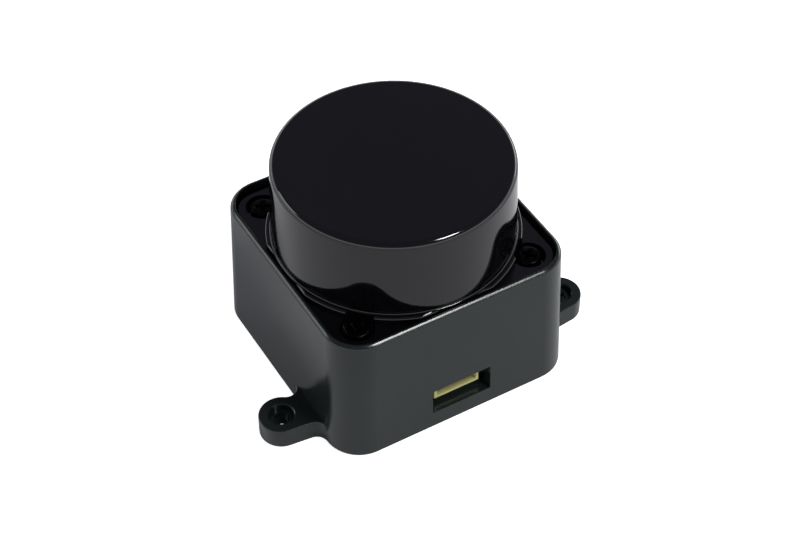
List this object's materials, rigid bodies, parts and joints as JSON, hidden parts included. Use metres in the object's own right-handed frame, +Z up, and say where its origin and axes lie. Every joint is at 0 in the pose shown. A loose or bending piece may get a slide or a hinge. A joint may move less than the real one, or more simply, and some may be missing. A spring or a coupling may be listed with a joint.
{
  "type": "lidar scanner module",
  "caption": "Compact 360-degree scanning lidar: square black base with screw ears and a cable socket, smoked cylindrical window, and a spinning optical head inside.",
  "frame": {"origin": "on the scan axis, in the plane of the underside", "axes": "+Z up along the scan axis; the cable socket looks along -Y; screw ears on +X, -X and +Y"},
  "size_m": [0.054, 0.0463, 0.0348],
  "materials": {
    "housing_plastic": "satin",
    "smoked_window": "gloss",
    "black_screw": "satin",
    "ivory_nylon": "satin",
    "tinned_metal": "satin",
    "board_laminate": "satin",
    "aluminium_plate": "satin",
    "bearing_steel": "polished",
    "brass": "satin",
    "lamination_steel": "satin",
    "copper_wire": "gloss",
    "magnet": "matt",
    "chip_plastic": "matt",
    "lens_glass": "polished",
    "optics_plastic": "matt"
  },
  "bodies": {
    "base": {"base_housing": "housing_plastic", "bearing_sleeve": "brass", "board_screw_1": "black_screw", "board_screw_2": "black_screw", "board_screw_3": "black_screw", "bottom_cover": "housing_plastic", "bottom_screw_1": "black_screw", "bottom_screw_2": "black_screw", "bottom_screw_3": "black_screw", "bottom_screw_4": "black_screw", "cable_header": "ivory_nylon", "control_board": "board_laminate", "controller_chip": "chip_plastic", "encoder_sensor": "chip_plastic", "header_pin_1": "tinned_metal", "header_pin_2": "tinned_metal", "header_pin_3": "tinned_metal", "header_pin_4": "tinned_metal", "link_receiver": "chip_plastic", "lower_bearing_outer_race": "bearing_steel", "motor_driver_chip": "chip_plastic", "motor_plate": "aluminium_plate", "motor_plate_screw_1": "black_screw", "motor_plate_screw_2": "black_screw", "motor_plate_screw_3": "black_screw", "stator_core": "lamination_steel", "stator_winding": "copper_wire", "supply_coil": "copper_wire", "supply_inductor": "lamination_steel", "upper_bearing_outer_race": "bearing_steel", "window_cover": "smoked_window", "window_screw_1": "black_screw", "window_screw_2": "black_screw", "window_screw_3": "black_screw", "window_screw_4": "black_screw"},
    "scan_head": {"rotor_shaft": "bearing_steel", "shaft_clip": "bearing_steel", "rotor_platform": "aluminium_plate", "magnet_ring": "magnet", "rotor_yoke": "lamination_steel", "pickup_coil": "copper_wire", "encoder_disc": "optics_plastic", "head_board": "board_laminate", "link_emitter": "lens_glass", "head_screw_1": "black_screw", "head_screw_2": "black_screw", "head_screw_3": "black_screw", "optics_frame": "optics_plastic", "emitter_lens": "lens_glass", "receiver_lens": "lens_glass", "laser_diode": "brass", "light_detector": "chip_plastic", "optics_board": "board_laminate", "signal_processor": "chip_plastic", "balance_weight": "brass", "lower_bearing_inner_race": "bearing_steel", "upper_bearing_inner_race": "bearing_steel"},
    "lower_ball_set": {"lower_bearing_ball_cage": "bearing_steel"},
    "upper_ball_set": {"upper_bearing_ball_cage": "bearing_steel"}
  },
  "joints": [
    {"name": "head_spin", "type": "hinge", "parent": "base", "child": "scan_head", "pos_m": [0, 0, 0.012], "axis": [0, 0, 1], "continuous": true},
    {"name": "lower_ball_spin", "type": "hinge", "parent": "base", "child": "lower_ball_set", "pos_m": [0, 0, 0.0072], "axis": [0, 0, 1], "continuous": true},
    {"name": "upper_ball_spin", "type": "hinge", "parent": "base", "child": "upper_ball_set", "pos_m": [0, 0, 0.0121], "axis": [0, 0, 1], "continuous": true}
  ],
  "couplings": [
    {"joint": "lower_ball_spin", "follows": "head_spin", "ratio": 0.4324},
    {"joint": "upper_ball_spin", "follows": "head_spin", "ratio": 0.4324}
  ]
}
